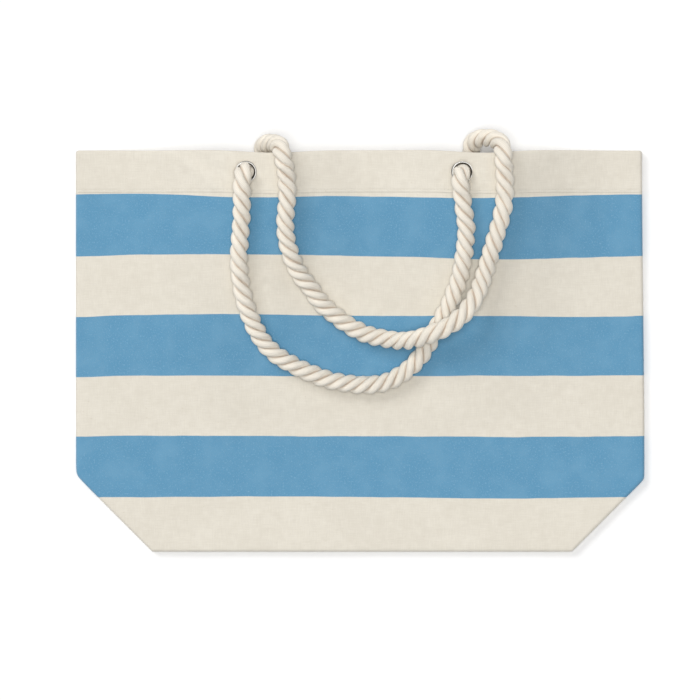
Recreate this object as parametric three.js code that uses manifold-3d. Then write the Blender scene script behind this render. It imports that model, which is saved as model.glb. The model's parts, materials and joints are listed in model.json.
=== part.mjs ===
// A canvas beach tote with two rope handles, empty and lying flat on its back panel.
// +X runs across the bag, +Y from the bottom fold to the mouth, +Z up from the table.
// The drawing's y = 0 is the bottom fold; the group at the end moves it to the centre of the outline.
// Both panels are cut alike, so the rear eyelets stand as far right of centre as the front ones stand left.
// Millimetres throughout.
import * as THREE from "three";
import { mergeVertices } from "three/addons/utils/BufferGeometryUtils.js";
import Module from "manifold-3d";

const wasm = await Module();
wasm.setup();

// ---------------------------------------------------------------- driving dimensions
const BAG_WIDTH = 550; // side seam to side seam
const BAG_HEIGHT = 389; // bottom fold to mouth
const BASE_DEPTH = 146; // front to back of the base when the bag stands open
const HEM_DEPTH = 36; // turned-in hem at the mouth
const HEM_INSET = 14; // the hem's turned-in layer stops short of the side seams
const CLOTH = 1.4; // one layer of canvas
const HEM_CLOTH = 1.2; // the hem's turned-in layer, pressed thinner
const GAP = 0.3; // between pieces that touch
const ROPE_R = 9;
const EYELET_Y = 368;
const EYELET_SPACING = 210;
const EYELET_OFFSET = 4.5; // how far a panel's eyelets stand off its centre line
const HANDLE_SWING_Y = 399.5; // the rear rope's turn over the mouth
const HALF_WIDTH = BAG_WIDTH / 2;
const HALF_BASE = BASE_DEPTH / 2;

// Heights of the lower faces, at the flat rim and how much each rises to its eyelets.
const BACK_UNDER = 0;
const BACK_RISE = 20.4;
const BASE_BACK_UNDER = 2.6;
const BASE_FRONT_UNDER = 5.2;
const FRONT_UNDER = 8.2;
const FRONT_RISE = 43.4;

const FRONT_EYELETS = [-1, 1].map((s) => (s * EYELET_SPACING) / 2 - EYELET_OFFSET);
const REAR_EYELETS = [-1, 1].map((s) => (s * EYELET_SPACING) / 2 + EYELET_OFFSET);
const FRONT_FACE = FRONT_UNDER + FRONT_RISE + CLOTH; // the front panel's outer face at its eyelets

// Eyelet and washer.
const HOLE_R = 9; // punched through the cloth
const BARREL_OUTER_R = 8.7;
const BARREL_R = 8;
const FLANGE_R = 11.1;
const FLANGE_T = 1.6;
const WASHER_R = 11.6;
const WASHER_T = 1;
const EYELET_DEPTH = 5.1; // from the panel's outer face to the rolled lip's end
const LIP_R = 9.8;

// Rope ends and knots.
const NECK_R = 7.6; // the rope where an eyelet squeezes it
const KNOT_R = 15.3;
const KNOT_HALF_HEIGHT = 10.6;
const KNOT_Z = 36.9;
const FRONT_KNOT = { x: -10, y: -10 }; // from the eyelet's axis to the knot's middle
const REAR_KNOT = { x: 13, y: 2 };
const PIVOT_Z = FRONT_FACE + FLANGE_T + ROPE_R + 0.4; // the front rope's elbow above its eyelet
const TABLE_ROPE_Z = ROPE_R + GAP; // the rear rope where it lies under the back panel
const TURN_Z = (PIVOT_Z + TABLE_ROPE_Z) / 2; // middle of the rear rope's turn over the mouth
const TURN_BEND = 11; // centreline radius of that turn's two bends
const REAR_LEGS = [
  { under: -93, over: -73, split: -83 },
  { under: 108.8, over: 139.2, split: 124 },
];

// ---------------------------------------------------------------- materials
const canvas = new THREE.MeshStandardMaterial({ color: 0xe9e2d3, roughness: 0.92, metalness: 0 });
const blueCanvas = new THREE.MeshStandardMaterial({ color: 0x68a0c4, roughness: 0.92, metalness: 0 });
const rope = new THREE.MeshStandardMaterial({ color: 0xefe8db, roughness: 0.95, metalness: 0 });
const nickel = new THREE.MeshStandardMaterial({ color: 0xc9c6c0, roughness: 0.25, metalness: 1 });

// ---------------------------------------------------------------- solids
function solidOf(geometry) {
  const bare = geometry.index ? geometry.toNonIndexed() : geometry.clone();
  for (const name of Object.keys(bare.attributes)) {
    if (name !== "position") bare.deleteAttribute(name);
  }
  const merged = mergeVertices(bare, 1e-3);
  return new wasm.Manifold(
    new wasm.Mesh({
      numProp: 3,
      vertProperties: merged.attributes.position.array,
      triVerts: new Uint32Array(merged.index.array),
    }),
  );
}

function geometryOf(solid) {
  const mesh = solid.getMesh();
  const geometry = new THREE.BufferGeometry();
  geometry.setAttribute("position", new THREE.BufferAttribute(mesh.vertProperties, 3));
  geometry.setIndex(new THREE.BufferAttribute(mesh.triVerts, 1));
  return geometry;
}

function surface(vertices, faces) {
  const geometry = new THREE.BufferGeometry();
  geometry.setAttribute("position", new THREE.Float32BufferAttribute(vertices, 3));
  geometry.setIndex(faces);
  return geometry;
}

const join = (...geometries) => geometryOf(geometries.map(solidOf).reduce((a, b) => a.add(b)));

const cut = (geometry, ...tools) =>
  geometryOf(tools.map(solidOf).reduce((a, b) => a.subtract(b), solidOf(geometry)));

function part(name, geometry, material) {
  const mesh = new THREE.Mesh(geometry, material);
  mesh.name = name;
  return mesh;
}

// Height of a broken line through [position, height] points.
function along(points, at) {
  const next = Math.max(1, points.findIndex(([p]) => p >= at));
  const [p0, h0] = points[next - 1];
  const [p1, h1] = points[next];
  return h0 + ((h1 - h0) * (at - p0)) / (p1 - p0);
}

// ---------------------------------------------------------------- the lie of the two panels
// The front panel tents over the knots, sags between them and comes down to the seams.
const FRONT_ACROSS = [
  [-HALF_WIDTH, 0],
  [-240, 0.04],
  [-205, 0.26],
  [-170, 0.64],
  [FRONT_EYELETS[0] - 24, 1],
  [FRONT_EYELETS[0] + 30, 1],
  [-45, 0.76],
  [0, 0.62],
  [45, 0.76],
  [FRONT_EYELETS[1] - 24, 1],
  [FRONT_EYELETS[1] + 30, 1],
  [170, 0.64],
  [205, 0.26],
  [240, 0.04],
  [HALF_WIDTH, 0],
];
const FRONT_UP = [
  [0, 0],
  [HALF_BASE, 0],
  [120, 0.04],
  [175, 0.2],
  [235, 0.5],
  [295, 0.82],
  [340, 1],
  [BAG_HEIGHT, 1],
];
// The back panel lies on the table and is lifted only where a rope end runs beneath it.
const BACK_ACROSS = [
  [-HALF_WIDTH, 0],
  ...REAR_EYELETS.flatMap((x) => [
    [x - 54, 0],
    [x - 20, 1],
    [x + 20, 1],
    [x + 54, 0],
  ]),
  [HALF_WIDTH, 0],
];
const BACK_UP = [
  [0, 0],
  [HALF_BASE, 0],
  [285, 0],
  [345, 1],
  [BAG_HEIGHT, 1],
];

const frontUnder = (x, y) => FRONT_UNDER + FRONT_RISE * along(FRONT_ACROSS, x) * along(FRONT_UP, y);
const backUnder = (x, y) => BACK_UNDER + BACK_RISE * along(BACK_ACROSS, x) * along(BACK_UP, y);
const frontOver = (x, y) => frontUnder(x, y) + CLOTH;
const backOver = (x, y) => backUnder(x, y) + CLOTH;

// The outline's half width: a boxed corner folds flat along a 45 degree line.
const halfWidth = (y) => HALF_WIDTH - Math.max(0, HALF_BASE - y);

// One layer of cloth: columns across, rows up, its lower face at under(x, y). Both faces split each
// square along the same diagonal, so that the cloth keeps its thickness where it twists.
function layer(columns, rows, under, thickness) {
  const vertices = [];
  for (const lift of [0, thickness]) {
    for (const y of rows) {
      for (const column of columns) {
        const x = (column * halfWidth(y)) / HALF_WIDTH;
        vertices.push(x, y, under(x, y) + lift);
      }
    }
  }
  const [wide, high] = [columns.length, rows.length];
  const upper = wide * high;
  const faces = [];
  for (let a = 0; a < upper - wide; a++) {
    if (a % wide === wide - 1) continue;
    const [b, c, d] = [a + 1, a + wide, a + wide + 1];
    faces.push(a, c, d, a, d, b);
    faces.push(a + upper, d + upper, c + upper, a + upper, b + upper, d + upper);
  }
  const rim = [];
  for (let i = 0; i < wide - 1; i++) rim.push(i);
  for (let j = 0; j < high - 1; j++) rim.push(j * wide + wide - 1);
  for (let i = wide - 1; i > 0; i--) rim.push((high - 1) * wide + i);
  for (let j = high - 1; j > 0; j--) rim.push(j * wide);
  rim.forEach((p, k) => {
    const q = rim[(k + 1) % rim.length];
    faces.push(p, q, q + upper, p, q + upper, p + upper);
  });
  return surface(vertices, faces);
}

const places = (points) => points.map(([p]) => p);

function eyeletHoles(eyelets) {
  return eyelets.map((x) =>
    new THREE.CylinderGeometry(HOLE_R, HOLE_R, 160, 32).rotateX(Math.PI / 2).translate(x, EYELET_Y, 0),
  );
}

function panels() {
  const hemRows = [BAG_HEIGHT - HEM_DEPTH, BAG_HEIGHT];
  const frontHem = (x, y) => frontUnder(x, y) - GAP - HEM_CLOTH;
  const backHem = (x, y) => backOver(x, y) + GAP;
  const insideSeams = (x) => Math.min(HALF_WIDTH - HEM_INSET, Math.max(HEM_INSET - HALF_WIDTH, x));
  const inner = (points) => places(points).map(insideSeams);
  return [
    part(
      "front_panel",
      cut(layer(places(FRONT_ACROSS), places(FRONT_UP), frontUnder, CLOTH), ...eyeletHoles(FRONT_EYELETS)),
      blueCanvas,
    ),
    part(
      "back_panel",
      cut(layer(places(BACK_ACROSS), places(BACK_UP), backUnder, CLOTH), ...eyeletHoles(REAR_EYELETS)),
      blueCanvas,
    ),
    part(
      "front_hem",
      cut(layer(inner(FRONT_ACROSS), hemRows, frontHem, HEM_CLOTH), ...eyeletHoles(FRONT_EYELETS)),
      canvas,
    ),
    part(
      "back_hem",
      cut(layer(inner(BACK_ACROSS), hemRows, backHem, HEM_CLOTH), ...eyeletHoles(REAR_EYELETS)),
      canvas,
    ),
  ];
}

// ---------------------------------------------------------------- the base, tucked up between the panels
function base() {
  const columns = [-HALF_WIDTH, HALF_WIDTH];
  const rows = [0, HALF_BASE];
  const seam = new THREE.BoxGeometry(2 * HALF_WIDTH - 40, 9, 4.2);
  const seamZ = (BASE_BACK_UNDER + BASE_FRONT_UNDER + CLOTH) / 2;
  return [
    part("base_back_half", layer(columns, rows, () => BASE_BACK_UNDER, CLOTH), canvas),
    part("base_front_half", layer(columns, rows, () => BASE_FRONT_UNDER, CLOTH), canvas),
    part("base_seam", seam.translate(0, HALF_BASE + GAP + 4.5, seamZ), canvas),
  ];
}

// A side seam's allowance, between the panels along one side.
function sideSeam(name, side) {
  const length = BAG_HEIGHT - HALF_BASE - 12;
  const low = backOver(HALF_WIDTH, 0) + GAP;
  const high = FRONT_UNDER - GAP;
  const allowance = new THREE.BoxGeometry(11, length, high - low);
  return part(
    name,
    allowance.translate(side * (HALF_WIDTH - 5.7), HALF_BASE + 12 + length / 2, (high + low) / 2),
    canvas,
  );
}

// ---------------------------------------------------------------- eyelets
// Both are drawn with the panel's outer face at z = 0 and the outside above it.
function eyeletGeometry() {
  const flangeUnder = GAP;
  const profile = [
    [BARREL_R, FLANGE_T - 0.5],
    [BARREL_R, -EYELET_DEPTH],
    [LIP_R, -EYELET_DEPTH + 0.3],
    [LIP_R, -EYELET_DEPTH + 0.6],
    [BARREL_OUTER_R, -EYELET_DEPTH + 0.6],
    [BARREL_OUTER_R, flangeUnder],
    [FLANGE_R, flangeUnder],
    [FLANGE_R - 0.6, FLANGE_T * 0.85],
    [(FLANGE_R + BARREL_R) / 2, FLANGE_T],
    [BARREL_R, FLANGE_T - 0.5],
  ];
  const points = profile.map(([r, z]) => new THREE.Vector2(r, z));
  return new THREE.LatheGeometry(points, 28).rotateX(Math.PI / 2);
}

function washerGeometry() {
  const top = -(CLOTH + GAP + HEM_CLOTH + GAP);
  const inner = BARREL_OUTER_R + 0.25;
  const profile = [
    [inner, top],
    [inner, top - WASHER_T],
    [WASHER_R, top - WASHER_T * 0.8],
    [WASHER_R, top - WASHER_T * 0.2],
    [inner, top],
  ];
  const points = profile.map(([r, z]) => new THREE.Vector2(r, z));
  return new THREE.LatheGeometry(points, 28).rotateX(Math.PI / 2);
}

function eyelets() {
  const faces = [
    { name: "front", xs: FRONT_EYELETS, z: FRONT_FACE, turn: 0 },
    { name: "rear", xs: REAR_EYELETS, z: BACK_UNDER + BACK_RISE, turn: Math.PI },
  ];
  return faces.flatMap(({ name, xs, z, turn }) =>
    ["left", "right"].flatMap((side, i) => {
      const pair = new THREE.Group();
      pair.position.set(xs[i], EYELET_Y, z);
      pair.rotation.x = turn;
      pair.add(
        part(`${name}_${side}_eyelet`, eyeletGeometry(), nickel),
        part(`${name}_${side}_washer`, washerGeometry(), nickel),
      );
      return pair;
    }),
  );
}

// ---------------------------------------------------------------- rope
// A round rope through the points, with a ring at every point and one halfway to the next.
function tube(points, sides = 16) {
  const curve = new THREE.CatmullRomCurve3(points.map((p) => new THREE.Vector3(...p)));
  const rings = 2 * points.length - 1;
  const sideways = new THREE.Vector3(1, 0, 0);
  const vertices = [];
  const faces = [];
  for (let i = 0; i < rings; i++) {
    const centre = curve.getPoint(i / (rings - 1));
    const forward = curve.getTangent(i / (rings - 1));
    sideways.addScaledVector(forward, -sideways.dot(forward)).normalize();
    const other = forward.clone().cross(sideways);
    for (let k = 0; k < sides; k++) {
      const angle = (2 * Math.PI * k) / sides;
      const point = centre.clone().addScaledVector(sideways, ROPE_R * Math.cos(angle));
      vertices.push(...point.addScaledVector(other, ROPE_R * Math.sin(angle)).toArray());
      const [here, beside] = [i * sides + k, i * sides + ((k + 1) % sides)];
      if (i > 0) faces.push(here - sides, beside - sides, beside, here - sides, beside, here);
      if (k > 1) {
        if (i === 0) faces.push(0, k, k - 1);
        if (i === rings - 1) faces.push(i * sides, here - 1, here);
      }
    }
  }
  return surface(vertices, faces);
}

// Balls and bars are a touch thinner than the rope they close, so that they meet it cleanly.
const ball = (x, y, z) => new THREE.SphereGeometry(ROPE_R - 0.25, 16, 10).translate(x, y, z);

const knot = (x, y) =>
  new THREE.SphereGeometry(1, 18, 12)
    .scale(KNOT_R, KNOT_R, KNOT_HALF_HEIGHT)
    .rotateZ(0.3)
    .translate(x, y, KNOT_Z);

// A length of squeezed rope on the eyelet's axis, from z0 up to z1.
const neck = (x, z0, z1) =>
  new THREE.CylinderGeometry(NECK_R, NECK_R, z1 - z0, 16)
    .rotateX(Math.PI / 2)
    .translate(x, EYELET_Y, (z0 + z1) / 2);

// A straight length of rope along X, where the rear rope turns over the mouth.
const bar = (x0, x1) =>
  new THREE.CylinderGeometry(ROPE_R - 0.5, ROPE_R - 0.5, Math.abs(x1 - x0), 16)
    .rotateZ(Math.PI / 2)
    .translate((x0 + x1) / 2, HANDLE_SWING_Y, TURN_Z);

// A quarter bend at the mouth, then straight up or down to the middle of the turn.
function bendTo(x, z) {
  const toMiddle = Math.sign(TURN_Z - z);
  const arc = [0, 1, 2, 3].map((i) => {
    const angle = (i / 3) * (Math.PI / 2);
    return [
      x,
      HANDLE_SWING_Y - TURN_BEND * (1 - Math.sin(angle)),
      z + toMiddle * TURN_BEND * (1 - Math.cos(angle)),
    ];
  });
  return [...arc, [x, HANDLE_SWING_Y, TURN_Z]];
}

function frontEnds() {
  return ["left", "right"].map((side, i) => {
    const x = FRONT_EYELETS[i];
    const end = join(
      knot(x + FRONT_KNOT.x, EYELET_Y + FRONT_KNOT.y),
      neck(x, KNOT_Z + 4.2, PIVOT_Z - ROPE_R - 0.6),
    );
    return part(`front_${side}_rope_end`, end, rope);
  });
}

function rearEnds() {
  return ["left", "right"].map((side, i) => {
    const x = REAR_EYELETS[i];
    const leg = REAR_LEGS[i];
    const under = [
      [x, EYELET_Y, TABLE_ROPE_Z],
      [x + (leg.under - x) * 0.5, EYELET_Y + 9, TABLE_ROPE_Z],
      ...bendTo(leg.under, TABLE_ROPE_Z),
    ];
    const end = join(
      knot(x + REAR_KNOT.x, EYELET_Y + REAR_KNOT.y),
      neck(x, TABLE_ROPE_Z, KNOT_Z - 5),
      ball(x, EYELET_Y, TABLE_ROPE_Z),
      tube(under),
      ball(leg.under, HANDLE_SWING_Y, TURN_Z),
      bar(leg.under, leg.split - GAP / 2),
    );
    return part(`rear_${side}_rope_end`, end, rope);
  });
}

// Routes over the front panel, left to right: x, y, and how far the rope is lifted off the cloth.
const FRONT_ROUTE = [
  [-109.5, 368, 2],
  [-110.5, 355, 1.6],
  [-113, 340, 0.4],
  [-115, 320, 0],
  [-117, 300, 0],
  [-117.5, 280, 0],
  [-114.5, 260, 0],
  [-109.5, 241, 0],
  [-102, 222, 0],
  [-91.5, 205, 0],
  [-79, 192, 0],
  [-64, 182, 0],
  [-46.5, 173, 0],
  [-28.5, 166.5, 0],
  [-10, 163, 0],
  [6, 161.5, 0],
  [21, 163, 0],
  [35.5, 168.5, 0],
  [47.5, 176.5, 0],
  [57, 186, 0],
  [64.5, 196.5, 0],
  [71, 208, 0],
  [77.5, 220, 0],
  [84.5, 233, 0],
  [91, 247, 0],
  [96.5, 262, 0],
  [100.5, 279, 0],
  [103, 297, 0],
  [104, 315, 0],
  [102.8, 333, 0.4],
  [101, 354, 1.6],
  [100.5, 368, 2],
];
const REAR_ROUTE = [
  [-72, 378, 0.4],
  [-70, 366, 0],
  [-69.3, 352, 0],
  [-70, 336, 0],
  [-71.2, 320, 0],
  [-70.2, 304, 0],
  [-66, 288, 0],
  [-58, 270.5, 0],
  [-46, 254.5, 0],
  [-34, 241.5, 0],
  [-20, 229.5, 0],
  [-5, 219, 0],
  [10, 211.5, 0],
  [25, 206.5, 1.5],
  [40, 204.5, 7],
  [55, 206, 15],
  [69.5, 211, 19.5],
  [83.5, 219, 20],
  [96, 229.5, 18],
  [106.5, 242, 12],
  [116, 257.5, 4.5],
  [123.5, 275, 0.5],
  [128.5, 291, 0],
  [133, 307, 0],
  [137.5, 322, 0],
  [140.5, 337, 0],
  [141.5, 352, 0],
  [140.5, 366, 0],
  [139.5, 378, 0.4],
];
const CLEAR = 1.3; // keeps the round rope off the panel's flat facets

const laid = (route) => route.map(([x, y, lift]) => [x, y, frontOver(x, y) + ROPE_R + CLEAR + lift]);

function frontHandle() {
  const points = laid(FRONT_ROUTE);
  points[0][2] = PIVOT_Z;
  points.at(-1)[2] = PIVOT_Z;
  const ends = FRONT_EYELETS.map((x) => ball(x, EYELET_Y, PIVOT_Z));
  return part("front_handle", join(tube(points), ...ends), rope);
}

function rearHandle() {
  const legs = REAR_LEGS.map((leg) => bendTo(leg.over, PIVOT_Z));
  const route = [...legs[0].reverse(), ...laid(REAR_ROUTE), ...legs[1]];
  const ends = REAR_LEGS.flatMap((leg) => [
    ball(leg.over, HANDLE_SWING_Y, TURN_Z),
    bar(leg.split + GAP / 2, leg.over),
  ]);
  return part("rear_handle", join(tube(route), ...ends), rope);
}

// ---------------------------------------------------------------- assembly
const tote = new THREE.Group();
tote.add(
  ...panels(),
  ...base(),
  sideSeam("left_side_seam", -1),
  sideSeam("right_side_seam", 1),
  ...eyelets(),
  ...frontEnds(),
  ...rearEnds(),
  frontHandle(),
  rearHandle(),
);

const outline = new THREE.Box3().setFromObject(tote);
tote.position.y = -(outline.min.y + outline.max.y) / 2;

export default tote;
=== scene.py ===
"""A striped canvas tote with two rope handles, lying flat on its back and seen from straight above.

The drawing's units are millimetres, with y = 0 at the bottom fold, as in the CAD model's own drawing.
to_row() turns them into metres in the row frame.
"""

import json
import math

import bpy
import numpy as np
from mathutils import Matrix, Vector, noise
from mathutils.bvhtree import BVHTree


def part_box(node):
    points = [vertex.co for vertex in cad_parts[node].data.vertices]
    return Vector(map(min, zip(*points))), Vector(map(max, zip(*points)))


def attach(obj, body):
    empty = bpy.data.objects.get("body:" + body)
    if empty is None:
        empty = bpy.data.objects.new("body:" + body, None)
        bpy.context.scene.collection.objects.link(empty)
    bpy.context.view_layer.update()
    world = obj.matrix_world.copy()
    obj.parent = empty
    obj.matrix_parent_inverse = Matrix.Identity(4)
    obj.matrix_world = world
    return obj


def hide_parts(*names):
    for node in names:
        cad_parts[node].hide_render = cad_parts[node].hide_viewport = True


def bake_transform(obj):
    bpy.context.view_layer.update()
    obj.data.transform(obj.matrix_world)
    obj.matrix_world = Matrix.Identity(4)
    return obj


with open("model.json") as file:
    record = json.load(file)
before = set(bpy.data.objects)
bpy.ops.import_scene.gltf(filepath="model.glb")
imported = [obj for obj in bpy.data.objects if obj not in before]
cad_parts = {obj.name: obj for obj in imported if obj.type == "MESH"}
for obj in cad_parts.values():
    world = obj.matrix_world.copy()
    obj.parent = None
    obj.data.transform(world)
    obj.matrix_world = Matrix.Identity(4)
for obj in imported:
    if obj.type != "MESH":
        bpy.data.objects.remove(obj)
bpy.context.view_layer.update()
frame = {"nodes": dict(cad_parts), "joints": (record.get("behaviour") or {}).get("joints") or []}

MM = 0.001
panel_low, panel_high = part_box("front_panel")
BOTTOM_FOLD = panel_low.y  # the row frame's y of the drawing's y = 0
HEIGHT = (panel_high.y - panel_low.y) / MM
HALF_WIDTH = panel_high.x / MM
RIM_Z = panel_low.z / MM
FACE_Z = panel_high.z / MM  # the front panel's outer face at its eyelets


def to_row(points):
    """Drawing millimetres to row-frame metres."""
    return np.asarray(points, float) * MM + np.array([0.0, BOTTOM_FOLD, 0.0])


def middle(node):
    """A CAD node's middle, in drawing millimetres."""
    low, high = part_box(node)
    centre = (low + high) / 2
    return np.array([centre.x / MM, (centre.y - BOTTOM_FOLD) / MM, centre.z / MM])


def smooth_step(value, low, high):
    """0 below low, 1 above high, and a smooth rise between them."""
    t = np.clip((value - low) / (high - low), 0, 1)
    return t * t * (3 - 2 * t)


def new_object(name, data):
    obj = bpy.data.objects.new(name, data)
    bpy.context.scene.collection.objects.link(obj)
    return obj


# -------------------------------- camera
PICTURE_WIDTH = 0.6808  # what the picture spans at the bag's rim
LOOK_AT = (-0.0086, -0.0088)
CAMERA_HEIGHT = 12.0
camera_data = bpy.data.cameras.new("camera")
camera = new_object("camera", camera_data)
camera.location = (*LOOK_AT, CAMERA_HEIGHT)
camera_data.sensor_width = 36
camera_data.lens = camera_data.sensor_width * (CAMERA_HEIGHT - RIM_Z * MM) / PICTURE_WIDTH
camera_data.clip_start = 0.1
camera_data.clip_end = 40
bpy.context.scene.camera = camera


# -------------------------------- material nodes
class Shader:
    """A Principled material and short calls for the nodes that drive it."""

    def __init__(self, name, **sockets):
        self.material = bpy.data.materials.new(name)
        self.material.use_nodes = True
        self.tree = self.material.node_tree
        self.surface = self.tree.nodes["Principled BSDF"]
        for socket, value in sockets.items():
            self.surface.inputs[socket.replace("_", " ")].default_value = value

    def node(self, kind, inputs=(), output=0, **settings):
        node = self.tree.nodes.new(kind)
        for key, value in settings.items():
            setattr(node, key, value)
        for socket, value in dict(inputs).items():
            if isinstance(value, bpy.types.NodeSocket):
                self.tree.links.new(value, node.inputs[socket])
            else:
                node.inputs[socket].default_value = value
        return node.outputs[output]

    def math(self, operation, a, b=0.0, c=0.0):
        return self.node("ShaderNodeMath", {0: a, 1: b, 2: c}, operation=operation)

    def ramp(self, value, low, high, to_low=0.0, to_high=1.0):
        """A smooth step from to_low to to_high as value goes from low to high."""
        inputs = {"Value": value, "From Min": low, "From Max": high, "To Min": to_low, "To Max": to_high}
        return self.node("ShaderNodeMapRange", inputs, interpolation_type="SMOOTHSTEP")

    def mix(self, factor, a, b):
        return self.node("ShaderNodeMix", {0: factor, 6: a, 7: b}, output=2, data_type="RGBA")

    def noise(self, vector, scale, stretch=(1, 1, 1), detail=3.0):
        stretched = self.node("ShaderNodeMapping", {"Vector": vector, "Scale": stretch})
        return self.node("ShaderNodeTexNoise", {"Vector": stretched, "Scale": scale, "Detail": detail})

    def position(self):
        return self.node("ShaderNodeTexCoord", output=3)

    def split(self, vector):
        parts = self.tree.nodes.new("ShaderNodeSeparateXYZ")
        self.tree.links.new(vector, parts.inputs[0])
        return parts.outputs[0], parts.outputs[1]

    def bump(self, height, distance, strength=1.0):
        inputs = {"Height": height, "Distance": distance, "Strength": strength}
        normal = self.node("ShaderNodeBump", inputs)
        self.tree.links.new(normal, self.surface.inputs["Normal"])

    def colour(self, socket):
        self.tree.links.new(socket, self.surface.inputs["Base Color"])


NATURAL = (0.710, 0.665, 0.575, 1)
NATURAL_PALE = (0.805, 0.762, 0.670, 1)
# The seed flecks' colour, also used as painted shade in the gaps between the threads.
NATURAL_FLECK_AND_GAP_SHADE = (0.600, 0.530, 0.420, 1)
BLUE = (0.088, 0.290, 0.478, 1)
BLUE_WORN = (0.205, 0.432, 0.615, 1)
THREAD_PITCH = 0.00092  # metres, as are the stripes' sizes
STRIPE_PITCH = 0.1170
STRIPE_WIDTH = 0.0585
TOP_STRIPE_MIDDLE = 0.3170  # up the flat cloth from the bottom fold


def weave_height(s, flat, across, up):
    """Pillow-shaped crossings of the two threads, from 0 between them to 1 on top of them."""
    # The threads wander a little, so the weave is not a ruled grid.
    wander = s.math("MULTIPLY", s.noise(flat, 70, detail=2), 0.0016)
    warp = s.math("SINE", s.math("MULTIPLY", s.math("ADD", across, wander), math.pi / THREAD_PITCH))
    weft = s.math("SINE", s.math("MULTIPLY", s.math("ADD", up, wander), math.pi / THREAD_PITCH))
    on_top = s.math("GREATER_THAN", s.math("MULTIPLY", warp, weft), 0.0)
    warp, weft = s.math("ABSOLUTE", warp), s.math("ABSOLUTE", weft)
    warp_up = s.math("MULTIPLY", warp, s.math("POWER", weft, 0.45))
    weft_up = s.math("MULTIPLY", weft, s.math("POWER", warp, 0.45))
    under = s.math("MULTIPLY", s.math("SUBTRACT", 1.0, on_top), weft_up)
    return s.math("ADD", s.math("MULTIPLY", on_top, warp_up), under)


def natural_cotton(s, flat, weave, slubs):
    """Undyed cotton, clouded and mottled, with seed flecks, and painted shade in the gaps between the
    threads.
    """
    cloud = s.noise(flat, 16, detail=4)
    mottle = s.noise(flat, 120, detail=4)
    tone = s.math("MULTIPLY", s.math("SUBTRACT", slubs, 1.0), 0.65)
    tone = s.math("ADD", tone, s.math("MULTIPLY", s.math("SUBTRACT", cloud, 0.5), 0.6))
    tone = s.math("ADD", tone, s.math("MULTIPLY", s.math("SUBTRACT", mottle, 0.5), 0.6))
    natural = s.mix(s.ramp(tone, -0.35, 0.45), NATURAL, NATURAL_PALE)
    flecks = s.ramp(s.noise(flat, 1.0, (260, 420, 1), 1), 0.74, 0.78)
    natural = s.mix(s.math("MULTIPLY", flecks, 0.35), natural, NATURAL_FLECK_AND_GAP_SHADE)
    # The gaps between the threads are darkened: painted shade.
    return s.mix(s.ramp(weave, 0.0, 0.45, 0.28, 0.0), natural, NATURAL_FLECK_AND_GAP_SHADE)


def printed_stripes(s, flat, up, weave, natural):
    """Broad blue stripes printed on the natural cotton, a little worn and patchy."""
    worn = s.ramp(s.noise(flat, 620, detail=3), 0.52, 0.72)
    patches = s.ramp(s.noise(flat, 45, detail=3), 0.35, 0.75, 0.0, 0.5)
    print_tone = s.math("MAXIMUM", s.math("MULTIPLY", worn, 0.55), s.math("MULTIPLY", patches, 0.5))
    blue = s.mix(print_tone, BLUE, BLUE_WORN)
    # The blue is darkened in the gaps between the threads: painted shade.
    blue = s.mix(s.ramp(weave, 0.0, 0.35, 0.30, 0.0), blue, NATURAL_FLECK_AND_GAP_SHADE)
    # The printed edges waver a little and end ragged on the threads.
    drift = s.math("MULTIPLY", s.math("SUBTRACT", s.noise(flat, 22, detail=1), 0.5), 0.0016)
    ragged = s.math("MULTIPLY", s.math("SUBTRACT", weave, 0.5), 0.0004)
    height = s.math("ADD", up, s.math("ADD", drift, ragged))
    turns = s.math("DIVIDE", s.math("SUBTRACT", height, TOP_STRIPE_MIDDLE), STRIPE_PITCH)
    from_middle = s.math("ABSOLUTE", s.math("SUBTRACT", turns, s.math("ROUND", turns)))
    half, soft_edge = STRIPE_WIDTH / STRIPE_PITCH / 2, 0.0016
    printed = s.ramp(from_middle, half - soft_edge, half + soft_edge, 1.0, 0.0)
    return s.mix(printed, natural, blue)


def canvas_material(name, striped):
    """Plain-weave cotton canvas with slubs both ways, plain or with the printed stripes."""
    s = Shader(name, Roughness=0.93, Sheen_Weight=0.12, Sheen_Roughness=0.6, Specular_IOR_Level=0.25)
    flat = s.node("ShaderNodeUVMap")  # metres across and up the flat cloth
    across, up = s.split(flat)
    weave = weave_height(s, flat, across, up)
    slub_across = s.noise(flat, 1.0, (85, 1100, 1), 3)
    slub_along = s.noise(flat, 1.0, (1100, 85, 1), 3)
    slubs = s.math("ADD", slub_across, slub_along)
    colour = natural_cotton(s, flat, weave, slubs)
    if striped:
        colour = printed_stripes(s, flat, up, weave, colour)
    s.colour(colour)
    rumple = s.math("MULTIPLY", s.noise(flat, 160, detail=3), 2.4)
    s.bump(s.math("ADD", s.math("ADD", weave, slubs), rumple), 0.00010, 0.9)
    return s.material


ROPE_PALE = (0.955, 0.895, 0.790, 1)
ROPE_TONE = (0.880, 0.815, 0.705, 1)
# Painted shade for the grooves where the strands meet.
ROPE_GROOVE_SHADE = (0.480, 0.340, 0.230, 1)
YARNS = 13  # round a strand
YARN_SLANT = 30.0  # yarns passed in each metre along a strand


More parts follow.
